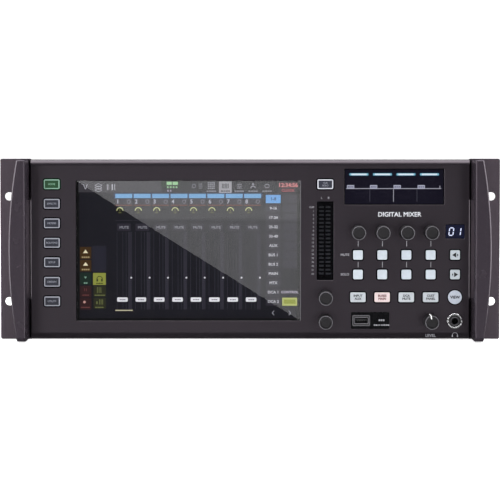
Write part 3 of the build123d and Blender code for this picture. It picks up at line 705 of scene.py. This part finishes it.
def screen_menu_bar():
    icons = Picture(2)
    icons.shape([(6.6, 3.3), (7.2, 3.3), (9.0, 8.2), (8.4, 8.2)])
    icons.shape([(10.4, 3.3), (11.0, 3.3), (9.2, 8.2), (8.6, 8.2)])
    left, centre, right, shoulder, thick = 17.9, 21.4, 24.9, 1.6, 0.45
    for top in (2.6, 4.9, 7.2):
        for peak in (0.0, 2 * shoulder):
            for start, rise, end, fall in ((left, shoulder, centre, peak), (centre, peak, right, shoulder)):
                upper = [(start, top + rise), (end, top + fall)]
                lower = [(end, top + fall + thick), (start, top + rise + thick)]
                icons.shape(upper + lower)
    for right, width in ((29.7, 0.6), (31.2, 0.4), (34.2, 1.2), (36.8, 0.6)):
        icons.tile(right, 3.4, width, 5.6)
    icons.lit("menu_icons", 176, 176, 184)

    tools = Picture(2)
    for column in range(4):
        for line in range(4):
            tools.tile(126.9 + 1.85 * column, 1.4 + 1.8 * line, 1.4, 1.3)
    for line in range(3):
        tools.tile(155.3, 3.1 + 1.8 * line, 4.7, 0.7)
    tools.dot(170.7, 3.3, 1.1)
    tools.arc(170.7, 7.3, 1.6, 2.6, 0, 180)
    tools.arc(184.2, 6.0, 2.2, 2.9, 30, 150)
    tools.arc(184.2, 4.2, 2.2, 2.9, 210, 330)
    tools.arc(113.6, 5.2, 1.5, 2.0, 0, 359)
    for row in range(3):
        tools.tile(118.4, 3.0 + 1.9 * row, 3.2, 0.6)
    for right in (130.4, 157.4, 170.7, 184.2):
        tools.word(right, 10.1, 9.0, 1.1, (2, 3, 2, 2))
    tools.lit("tool_icons", 132, 132, 140)

    Picture(2).tile(137.7, 0.7, 12.4, 11.1, 0.5).lit("menu_active", 150, 149, 154)
    inner = Picture(3)
    for bar in range(5):
        inner.tile(140.7 + 1.4 * bar, 2.8, 0.8, 4.6)
    inner.word(144.0, 10.0, 8.6, 1.1, (3, 2, 3, 2))
    inner.lit("menu_active_marks", 48, 48, 56)

    Picture(1).tile(81.8, 0.3, 18.4, 6.0).lit("status_halo", 16, 42, 16)
    green = Picture(2)
    for block in range(2):
        green.tile(87.3 + 5.8 * block, 1.0, 5.0, 3.1, 0.4)
    for tick in range(4):
        green.tile(87.6 + 2.8 * tick, 5.5, 1.5, 1.6)
    green.lit("status_green", 150, 202, 146)
    lilac = Picture(2)
    for tick in range(2):
        lilac.tile(87.8 + 2.6 * tick, 8.8, 1.5, 1.8, 0.3)
    lilac.lit("status_ticks", 150, 140, 158)

    screen_text("clock", [("12:34:56", 204.5, 4.4)], 4.0, 3, 222, 128, 128)
    screen_text("clock_note", [("CLOCK", 204.5, 9.5)], 2.7, 3, 176, 70, 78)


def screen_side_blocks():
    column, width = 3.4, 10.9
    blocks = {
        "amber": ((60, 38, 2), [(column, 64.0, width, 11.6), (column, 76.6, width, 11.2)]),
        "green": ((12, 36, 26), [(column, 89.0, width, 11.4)]),
        "red": ((46, 19, 20), [(column, 101.7, width, 11.2), (column, 113.7, width, 11.0)]),
        "olive": ((38, 40, 20), [(16.4, 101.9, 12.0, 10.2), (16.4, 113.4, 12.0, 10.4)]),
        "faint": ((28, 27, 40), [(15.2, 63.0, 13.6, 25.0)]),
    }
    for name, (colour, tiles) in blocks.items():
        layer = Picture(2)
        for tile in tiles:
            layer.tile(*tile, 0.4)
        layer.lit(f"block_{name}", *colour)

    cream = Picture(3)
    for down in (66.6, 78.7):
        cream.shape([(8.8, down), (6.4, down + 3.4), (11.2, down + 3.4)])
    cream.lit("arrows", 238, 228, 190)
    text = Picture(3)
    for down in (74.0, 85.9):
        text.word(8.8, down, 7.4, 1.4, (2, 2, 2, 2))
    text.lit("arrow_words", 168, 148, 104)

    mint = Picture(3)
    mint.shape([(7.4, 92.8), (9.9, 92.8), (8.6, 94.8)])
    mint.word(8.8, 99.0, 3.4, 1.3, (2, 2))
    mint.lit("green_marks", 132, 172, 150)
    rose = Picture(3)
    for side in (7.5, 9.3):
        rose.tile(side, 104.2, 0.5, 2.6)
    rose.word(8.8, 110.7, 6.2, 1.0, (2, 3, 2))
    rose.word(8.5, 122.6, 8.4, 1.0, (2, 2, 3, 2))
    rose.lit("red_marks", 112, 62, 60)
    Picture(3).dot(7.6, 117.4, 1.25).lit("red_point", 206, 156, 146)

    Picture(3).tile(16.0, 89.2, 12.3, 11.6, 0.3).lit("block_lime", 142, 148, 62)
    dark = Picture(4)
    dark.arc(22.3, 95.1, 2.3, 3.0, 0, 180)
    dark.tile(19.2, 94.9, 1.7, 2.6, 0.5)
    dark.tile(23.7, 94.9, 1.7, 2.6, 0.5)
    dark.word(22.2, 99.3, 6.4, 1.0, (2, 3, 2))
    dark.lit("lime_marks", 52, 58, 22)
    olive = Picture(3)
    for bar in range(3):
        olive.tile(19.8 + 1.7 * bar, 103.0, 0.6, 5.6)
        olive.tile(21.9 + 1.5 * bar, 114.8, 0.6, 5.0)
    olive.tile(19.1, 116.8, 1.2, 2.6)
    olive.word(22.5, 110.8, 10.0, 1.0, (2, 3, 2, 2))
    olive.word(22.0, 122.6, 8.0, 1.0, (2, 3, 2))
    olive.lit("olive_marks", 112, 118, 66)


def screen_lists():
    Picture(2).tile(183.0, LIST_TOP, 14.4, 8.0, 0.3).lit("bank_active", 100, 160, 218)
    right, down = 190.3, 17.7
    screen_text("bank_active_mark", [(BANKS[0], right, down)], 3.0, 4, 16, 52, 100)
    words = [(word, right, down + LIST_PITCH * row) for row, word in enumerate(BANKS) if row]
    screen_text("bank_words", words, 2.7, 3, 204, 204, 210)
    screen_text("control_word", [("CONTROL", 206.2, 107.9)], 2.5, 3, 196, 190, 206)
    Picture(2).tile(198.9, 113.2, 14.4, 7.8, 0.4).lit("virtual_frame", 180, 188, 98)
    Picture(3).tile(200.4, 114.9, 11.4, 4.2, 0.3).lit("virtual_core", 142, 152, 30)
    arrows = Picture(2)
    for right, sign in ((190.0, -1), (206.4, 1)):
        tip = right + sign * 1.2
        tail = right - sign * 0.9
        heel = tail - sign * 0.5
        outside = [(tail, 125.6), (tip, 128.0), (tail, 130.4)]
        arrows.shape(outside + [(heel, 130.0), (tip - sign, 128.0), (heel, 126.0)])
    arrows.lit("page_arrows", 150, 150, 160)


# ---- strip display, meter and two-digit indicator ----
LIGHT_BARS = [middle("strip_display").x + offset for offset in (-34.0, -11.3, 11.4, 34.1)]
BAR_Z = 72.1
TAG_Z = 60.0
RULE_Z = 58.4
DROP_Z = 51.8  # middle of the lines that hang from the rule
DROP_LENGTH = 12.4
METER_COLUMNS = (68.9, 75.3)
METER_TOP = 40.4
METER_PITCH = 3.78
METER_LABELS = "CLIP 1 2 3 4 6 8 10 12 15 18 21 24 30 36 42 51 60".split()


def strip_screen():
    back = lowest("strip_display").y
    front = back - 0.08
    field = Relief().box(middle("strip_display").x, 60.2, 95.0, 33.0, back - 0.03, back + 0.02)
    field.glowing("strip_background", (20, 17, 32))
    bars = Relief()
    cores = Relief()
    glow = Relief()
    for x in LIGHT_BARS:
        glow.box(x, BAR_Z, 19.6, 3.6, front, back, 0.8)
        bars.box(x, BAR_Z, 18.2, 2.1, back - 0.2, back + 0.38, 0.8, 0.1)
        cores.box(x, BAR_Z, 15.0, 1.5, back - 0.24, back - 0.2, 0.7)
    bars.glowing("strip_light_bars", (140, 208, 226), 1.2)
    cores.glowing("strip_light_cores", (236, 250, 252), 1.4)
    glow.glowing("strip_bar_glow", (10, 48, 66))
    rules = Relief()
    rules.box(138.6, RULE_Z, 91.8, 0.7, front, back)
    rules.box(138.4, DROP_Z, 0.6, DROP_LENGTH, front, back)
    rules.box(183.2, TAG_Z, 0.7, 2.4, front, back)
    rules.glowing("strip_rules", (196, 196, 203))
    dim_rules = Relief()
    for x in (115.6, 161.1):
        dim_rules.box(x, DROP_Z, 0.4, DROP_LENGTH, front, back)
    dim_rules.glowing("strip_dim_rules", (98, 97, 106))
    tags = Relief()
    words = Relief()
    tag_front = front - 0.08
    for x in (97.0, 119.2, 142.0, 165.2):
        tags.box(x, TAG_Z, 7.0, 3.6, tag_front, front, 0.2)
        mark_row(words, x, TAG_Z, 5.6, 1.2, (3, 2, 2), tag_front - 0.06, tag_front)
    tags.glowing("strip_tags", (208, 210, 224))
    words.glowing("strip_tag_words", (108, 110, 130))


def meter_scale():
    leds = Relief()
    face = lowest("meter_leds").y
    labels = []
    for row, label in enumerate(METER_LABELS):
        z = METER_TOP - METER_PITCH * row
        for x in METER_COLUMNS:
            leds.box(x, z, 4.6, 1.8, face - 0.02, face + 0.2, 0.2, 0.05)
        labels.append((label, 61.6, z))
    # the unlit segments are grey and glow: painted light
    unlit = moulded("meter_segment_painted_glow", srgb(34, 35, 36), rough=0.5, glow=srgb(52, 54, 55), power=0.3)
    leds.finish("meter_segments", unlit)
    lettering("meter_numbers", labels, 1.7, PRINT_FRONT, dim_ink_painted_glow, align="RIGHT", bold=0.01)
    sides = [("L", METER_COLUMNS[0], 49.4), ("R", METER_COLUMNS[1] + 0.3, 49.4)]
    lettering("meter_side_marks", sides, 2.0, PRINT_FRONT, dim_ink_painted_glow)


# the seven segments by their usual letters: centre across, centre up, width, height,
# in units of the digit's half height
ACROSS, UPRIGHT = (0.84, 0.27), (0.27, 0.8)
SEGMENTS = {
    "a": (0.0, 1.0, *ACROSS),
    "g": (0.0, 0.0, *ACROSS),
    "d": (0.0, -1.0, *ACROSS),
    "f": (-0.55, 0.5, *UPRIGHT),
    "b": (0.55, 0.5, *UPRIGHT),
    "e": (-0.55, -0.5, *UPRIGHT),
    "c": (0.55, -0.5, *UPRIGHT),
}


def two_digits():
    """Zero and one on the indicator, with their unlit segments."""
    centre = middle("digit_display")
    front = lowest("digit_display").y
    lit = Relief()
    off = Relief()
    scale, lean = 3.6, 0.14
    for place, lit_segments in ((-3.6, "abcdef"), (3.4, "bc")):
        for letter, (across, up, width, height) in SEGMENTS.items():
            x, z = centre.x + place + across * scale, centre.z + up * scale
            outline = slanted(rounded(x, z, width * scale, height * scale, 0.25), centre.z, lean)
            (lit if letter in lit_segments else off).prism(outline, front - 0.09, front + 0.1)
    lit.glowing("digit_segments_lit", (214, 222, 250), 1.2)
    off.glowing("digit_segments_off", (24, 28, 54))
    field = Relief().box(centre.x, centre.z, 18.0, 13.1, front - 0.04, front + 0.1, 0.5)
    field.glowing("digit_field", (10, 14, 40))


# ---- printed and moulded marks ----
MENU_WORDS = "HOME EFFECTS METERS ROUTING SETUP LIBRARY UTILITY".split()
FUNCTION_WORDS = [("INPUT", "AUX"), ("BUSES", "MAIN"), ("DCA", "MUTE"), ("CUST", "PANEL")]
LIT_FUNCTION = 2
LEGEND_FRONT = KEY_FACE - 0.03


def legend(name, node, words, height, pitch, material, bold):
    """Lines of a legend, centred on a key and moving with it."""
    place = middle(node)
    top = pitch * (len(words) - 1) / 2
    entries = [(word, place.x, place.z + top - pitch * line) for line, word in enumerate(words)]
    lettering(name, entries, height, LEGEND_FRONT, material, body=node, bold=bold)


def key_legends():
    for number, word in enumerate(MENU_WORDS, start=1):
        node = f"menu_key_{number}"
        colour = green_ink if node == LIT_MENU_KEY else menu_ink
        legend(f"menu_legend_{number}", node, (word,), 1.75, 0.0, colour, 0.015)
    legend("clear_legend", "clear_key", ("CLR", "SOLO"), 1.7, 2.5, menu_ink, 0.015)
    for number, words in enumerate(FUNCTION_WORDS, start=1):
        colour = red_ink if number == LIT_FUNCTION else dark_ink
        legend(f"function_legend_{number}", f"function_key_{number}", words, 2.2, 2.9, colour, 0.05)
    legend("view_legend", "view_key", ("VIEW",), 2.8, 0.0, dark_ink, 0.045)
    for node, sign in (("page_left_key", -1), ("page_right_key", 1)):
        place = middle(node)
        tip, tail = place.x + sign * 2.9, place.x - sign * 1.0
        points = [(tail, place.z - 2.5), (tip, place.z), (tail, place.z + 2.5)]
        back = KEY_FACE + 0.02
        arrow = Relief()
        arrow.prism(points if sign > 0 else points[::-1], LEGEND_FRONT, back)
        arrow.box(place.x - sign * 2.4, place.z, 1.0, 1.9, LEGEND_FRONT, back, 0.2)
        arrow.finish(node.replace("key", "arrow"), dark_ink, body=node)


def key_surrounds():
    """Near-black rings round each key's opening and strips in the joints beside the panel: painted shade of
    the gaps; the ring round the lit key is dark green and glows, a painted spill of the key's light.
    """
    width, corner, gap = 1.2, 1.36, 0.06
    front, back = PANEL_FACE - 0.06, PANEL_FACE + 0.3
    # seals gathers the rings and strips of painted shade; lit is the lit key's ring with its painted green
    # spill
    seals = Relief()
    lit = Relief()
    for node in KEYS:
        place, size = middle(node), extent(node)
        inner_w = size.x - KEY_FLANGE + 2 * gap
        inner_h = size.z - KEY_FLANGE + 2 * gap
        target = lit if node == LIT_MENU_KEY else seals
        if node == "view_key":
            target.tube(place.x, place.z, inner_w / 2, inner_w / 2 + width, front, back)
        else:
            target.frame(place.x, place.z, inner_w, inner_h, width, corner, front, back)
    side_gap = highest("front_panel").x + 0.8
    for x in (-side_gap, side_gap):
        seals.box(x, 0.0, 1.4, extent("front_panel").z - 1.0, EAR_FACE - 0.5, EAR_FACE + 0.1)
    seals.finish("key_seals", joint_and_shade_black)
    lit.finish("key_seal_lit", shade_and_green_spill)


def panel_printing():
    front, back = PANEL_FACE - 0.03, PANEL_FACE + 0.01
    for word, z in (("MUTE", -5.5), ("SOLO", -24.4)):
        lettering(f"{word.lower()}_word", [(word, 91.4, z)], 2.3, front, dim_ink_painted_glow)
    lettering("level_word", [("LEVEL", COLUMNS[3] + 0.1, -83.6)], 2.8, front, dim_ink_painted_glow)

    lines = Relief()
    for x in COLUMNS:
        for z in (5.3, -14.9):
            lines.box(x + 0.2, z, 0.5, 5.2, front, back)
    lines.finish("panel_column_lines", dim_ink_painted_glow)

    x, z = middle("phones_nut").x + 0.4, -83.2
    sign = Relief().prism(arc_band(x, z, 2.3, 2.7, 0, 180), front, back)
    for side in (-1, 1):
        sign.box(x + side * 2.5, z - 0.8, 1.3, 2.0, front, back, 0.3)
    sign.finish("phones_sign", dim_ink_painted_glow)
    lettering("mixer_sign", [("DIGITAL MIXER", 144.0, 33.4)], 4.4, PRINT_FRONT, light_ink_painted_glow)


def usb_details():
    """Plated mouth rim, tongue with contacts and the printed rating line."""
    face = lowest("usb_bezel").y
    x, _, z = middle("usb_socket")
    rim = Relief()
    rim.frame(x, z, 13.0, 5.4, 0.5, 0.8, face - 0.62, face - 0.2)
    rim.frame(x, z, 15.9, 9.2, 0.45, 0.9, face - 0.58, face - 0.3)
    rim.finish("usb_rim", rim_and_highlight_plastic)
    tongue = Relief().box(x, z + 0.6, 11.0, 1.8, face + 1.0, face + 12.0, 0.3, 0.2)
    tongue.finish("usb_tongue", connector_black)
    contacts = Relief()
    for i in range(4):
        contacts.box(x + (i - 1.5) * 2.3, z - 0.42, 1.0, 0.24, face + 1.4, face + 9.0)
    contacts.finish("usb_contacts", plated)
    ink_front = face - 0.04
    rating = Relief()
    for right, width, blocks in ((13.9, 3.6, (2, 3)), (17.3, 1.4, (1,)), (23.0, 8.0, (2, 2, 2, 2, 3))):
        mark_row(rating, x + right, z - 4.4, width, 1.2, blocks, ink_front, face)
    rating.finish("usb_rating", dim_ink_painted_glow)
    name = Relief()
    mark_row(name, x + 19.6, z + 0.3, 5.6, 1.6, (3, 3, 3), ink_front, face)
    name.finish("usb_name_marks", dim_ink_painted_glow)


def phones_details():
    """Rounded face of the jack nut, with its two tool notches, and the sleeve ring round the bore."""
    place = middle("phones_nut")
    face = lowest("phones_nut").y
    around, across = 72, 12
    centre_radius, half_width, height, notch_height = 6.6, 1.05, 0.75, 0.225
    loops = []
    for i in range(around):
        turn = math.tau * i / around
        notched = min(i % (around // 2), around // 2 - i % (around // 2)) <= 2
        rise = notch_height if notched else height
        loop = []
        for j in range(across):
            lean = math.tau * j / across
            radius = centre_radius + half_width * math.cos(lean)
            x, z = place.x + radius * math.cos(turn), place.z + radius * math.sin(turn)
            loop.append((x, face - 0.1 + rise * math.sin(lean), z))
        loops.append(loop)
    nut = Relief().skin(loops, smooth=True)
    nut.finish("phones_nut_face", chrome)
    mouth = lowest("phones_jack").y
    sleeve = Relief().tube(place.x, place.z, 3.25, 4.5, mouth - 0.15, mouth + 0.1)
    sleeve.finish("phones_sleeve", usb_metal)


POINTER_LEAN = math.radians(-10)


def knob_details():
    """Level pointer, and a thin light ring on each knob's bevelled rim: a painted highlight."""
    top = lowest("level_knob").y
    centre = middle("level_knob").xz
    along = Vector((math.sin(POINTER_LEAN), math.cos(POINTER_LEAN)))
    across = Vector((along.y, -along.x))
    half, inner, outer = 0.42, 3.4, 7.12
    corners = ((-half, inner), (half, inner), (half, outer), (-half, outer))
    outline = [tuple(centre + across * side + along * reach) for side, reach in corners]
    pointer = Relief().prism(outline, top + 0.12, top + 15.0)
    pointer.finish("level_pointer", white_ink_painted_glow, body="level_knob")
    for node in KNOBS:
        place = middle(node)
        # painted highlight: light ring standing for the shine on the rim's bevel
        rim = Relief().tube(place.x, place.z, 6.05, 6.5, top + 0.22, top + 0.8, steps=56)
        rim.finish(f"{node}_rim", rim_and_highlight_plastic, body=node)


# ---- rear details ----
OUTPUT_Z = -57.0
INPUT_ROWS = (57.0, 19.0, -19.0)
SOCKET_COLUMNS = [-192.0 + 32.0 * column for column in range(8)]
SOCKET_FLOOR = REAR - 10.0
PIN_CIRCLE = 3.75


def rear_details():
    pins = Relief()
    marks = []
    for column, x in enumerate(SOCKET_COLUMNS, start=1):
        for angle in (90, 210, 330):
            pin_x = x + PIN_CIRCLE * math.cos(math.radians(angle))
            pin_z = OUTPUT_Z + PIN_CIRCLE * math.sin(math.radians(angle))
            pins.prism(disc(pin_x, pin_z, 1.15, 14), SOCKET_FLOOR + 8.0, SOCKET_FLOOR - 0.5, 0.5)
        marks.append((str(column), x, OUTPUT_Z + 18.4))
        for row, z in enumerate(INPUT_ROWS):
            marks.append((str(row * len(SOCKET_COLUMNS) + column), x, z - 17.6))
    pins.finish("output_pins", plated)
    lettering("socket_numbers", marks, 2.2, REAR + 0.02, light_ink_painted_glow, behind=True)

    plate = REAR + 1.5
    cover = Relief().box(106.0, 6.0, 62.0, 44.0, plate, REAR, 2.0, 0.5)
    cover.finish("option_cover", case_paint)
    screws = Relief()
    for x in (79.0, 133.0):
        for z in (-12.0, 24.0):
            screws.prism(disc(x, z, 2.8, 24), plate + 1.1, plate, 0.5)
    screws.finish("option_cover_screws", screw_metal)

    blades = Relief()
    centre = middle("mains_inlet").x
    for offset, z in ((-7.0, -48.0), (0.0, -45.0), (7.0, -48.0)):
        blades.box(centre + offset, z, 2.0, 4.5, REAR - 0.5, REAR - 14.0, 0.4, 0.4)
    blades.finish("inlet_blades", plated)


# ---- studio ----
WORLD_LIGHT = 0.08
PAPER_GLOW = 0.6
TOP_LIGHT = 80.0
SIDE_LIGHT = 46.0
FILL_LIGHT = 5.6
LOW_LIGHT = 1.1
CARD_LIGHT = 0.44
WHITE = (1.0, 1.0, 1.0, 1.0)


def softbox(name, place, aim, size, power):
    data = bpy.data.lights.new(name, "AREA")
    data.shape = "RECTANGLE"
    data.size, data.size_y = size
    data.energy = power
    lamp = bpy.data.objects.new(name, data)
    lamp.location = place
    lamp.rotation_euler = (Vector(aim) - Vector(place)).to_track_quat("-Z", "Y").to_euler()
    bpy.context.scene.collection.objects.link(lamp)


def staged(name, mesh, material):
    """Part of the studio, not of the object."""
    piece = mesh_object(name, mesh, material)
    bpy.context.scene.collection.objects.link(piece)
    return piece


def paper_sweep():
    """Pale floor that curves up into the backdrop."""
    half_width, near, bend, radius, rise, steps = 8.0, -8.0, 2.8, 1.6, 6.0, 12
    floor_z = cad_low.z
    profile = [(near, floor_z), (bend, floor_z)]
    for step in range(1, steps + 1):
        angle = math.radians(90 * step / steps)
        profile.append((bend + radius * math.sin(angle), floor_z + radius * (1 - math.cos(angle))))
    profile.append((bend + radius, floor_z + rise))
    sweep = bmesh.new()
    left = [sweep.verts.new((-half_width, y, z)) for y, z in profile]
    right = [sweep.verts.new((half_width, y, z)) for y, z in profile]
    for i in range(len(profile) - 1):
        sweep.faces.new((left[i], right[i], right[i + 1], left[i + 1])).smooth = True
    n = Nodes("studio_paper")
    tone = n.ranged(n.noise(2.0), 0.86, 0.88)
    paper = n.add("ShaderNodeCombineColor")
    for channel in range(3):
        n.link(tone, paper.inputs[channel])
    n.set(Emission_Color=WHITE, Emission_Strength=PAPER_GLOW)
    piece = staged("studio_sweep", sweep, n.set(Base_Color=paper.outputs[0], Roughness=0.9))
    piece.visible_glossy = False
    piece.visible_shadow = False


def lights():
    world = bpy.data.worlds.new("studio_world")
    bpy.context.scene.world = world
    world.use_nodes = True
    background = world.node_tree.nodes["Background"]
    background.inputs["Color"].default_value = WHITE
    background.inputs["Strength"].default_value = WORLD_LIGHT
    softbox("top_light", (0.0, 0.1, 1.5), (0.0, 0.1, 0.0), (3.0, 1.8), TOP_LIGHT)
    softbox("left_light", (-2.6, -0.2, 0.3), (0.0, -0.1, 0.0), (1.5, 1.6), SIDE_LIGHT)
    softbox("right_light", (2.6, -0.2, 0.3), (0.0, -0.1, 0.0), (1.5, 1.6), SIDE_LIGHT)
    softbox("left_fill", (-1.2, -2.3, 0.1), (-0.1, 0.0, 0.0), (0.8, 1.2), FILL_LIGHT * 1.4)
    softbox("right_fill", (1.2, -2.3, 0.1), (0.1, 0.0, 0.0), (0.8, 1.2), FILL_LIGHT)
    softbox("low_light", (0.0, -1.5, -0.38), (0.0, 0.0, 0.0), (1.6, 0.3), LOW_LIGHT)


CAMERA_DISTANCE = 1.700
CAMERA_HEIGHT = 0.1055
CAMERA_SHIFT = -0.11
CAMERA_PITCH = 1.797
CAMERA_LENS = 126.75
CAMERA_SIDE_SHIFT = -0.0003


def screen_reflector():
    """Bright card behind the camera whose straight edge the glass mirrors from corner to corner."""
    glass_y = lowest("touch_glass").y * MM
    card_y = -2.6
    eye = Vector((0.0, 2 * glass_y + CAMERA_DISTANCE - EAR_FACE * MM, CAMERA_HEIGHT))
    reach = (eye.y - card_y) / (eye.y - glass_y)
    slope = -SCREEN_HEIGHT / SCREEN_WIDTH
    beyond, beyond_right = 0.03, 0.005
    left, right = SCREEN_LEFT * MM - beyond, (SCREEN_LEFT + SCREEN_WIDTH) * MM + beyond_right
    top, bottom = SCREEN_TOP * MM, (SCREEN_TOP - SCREEN_HEIGHT) * MM
    corners = [(left, top - slope * beyond), (right, bottom + slope * beyond_right)]
    corners += [(right, top + beyond), (left, top + beyond)]
    card = bmesh.new()
    verts = [card.verts.new(eye + (Vector((x, glass_y, z)) - eye) * reach) for x, z in corners]
    card.faces.new(verts[::-1])
    n = Nodes("reflector_glow")
    tone = n.ranged(n.noise(3.0), 0.95, 1.05)
    shine = n.math("MULTIPLY", tone, CARD_LIGHT)
    glow = n.set(Emission_Color=(1.0, 0.99, 1.0, 1.0), Emission_Strength=shine)
    staged("reflector_card", card, glow).visible_camera = False


def camera():
    data = bpy.data.cameras.new("camera")
    data.sensor_width = 36.0
    data.lens = CAMERA_LENS
    data.shift_x = CAMERA_SIDE_SHIFT
    data.shift_y = CAMERA_SHIFT
    data.clip_start, data.clip_end = 0.05, 50.0
    eye = bpy.data.objects.new("camera", data)
    eye.location = (0.0, EAR_FACE * MM - CAMERA_DISTANCE, CAMERA_HEIGHT)
    eye.rotation_euler = (math.radians(90 - CAMERA_PITCH), 0.0, 0.0)
    bpy.context.scene.collection.objects.link(eye)
    bpy.context.scene.camera = eye


bpy.context.scene.view_settings.view_transform = "Standard"
camera()
paper_sweep()
lights()
screen_reflector()
screen_background()
screen_border()
screen_strips()
screen_menu_bar()
screen_side_blocks()
screen_lists()
strip_screen()
meter_scale()
two_digits()
key_legends()
key_surrounds()
panel_printing()
usb_details()
phones_details()
knob_details()
rear_details()
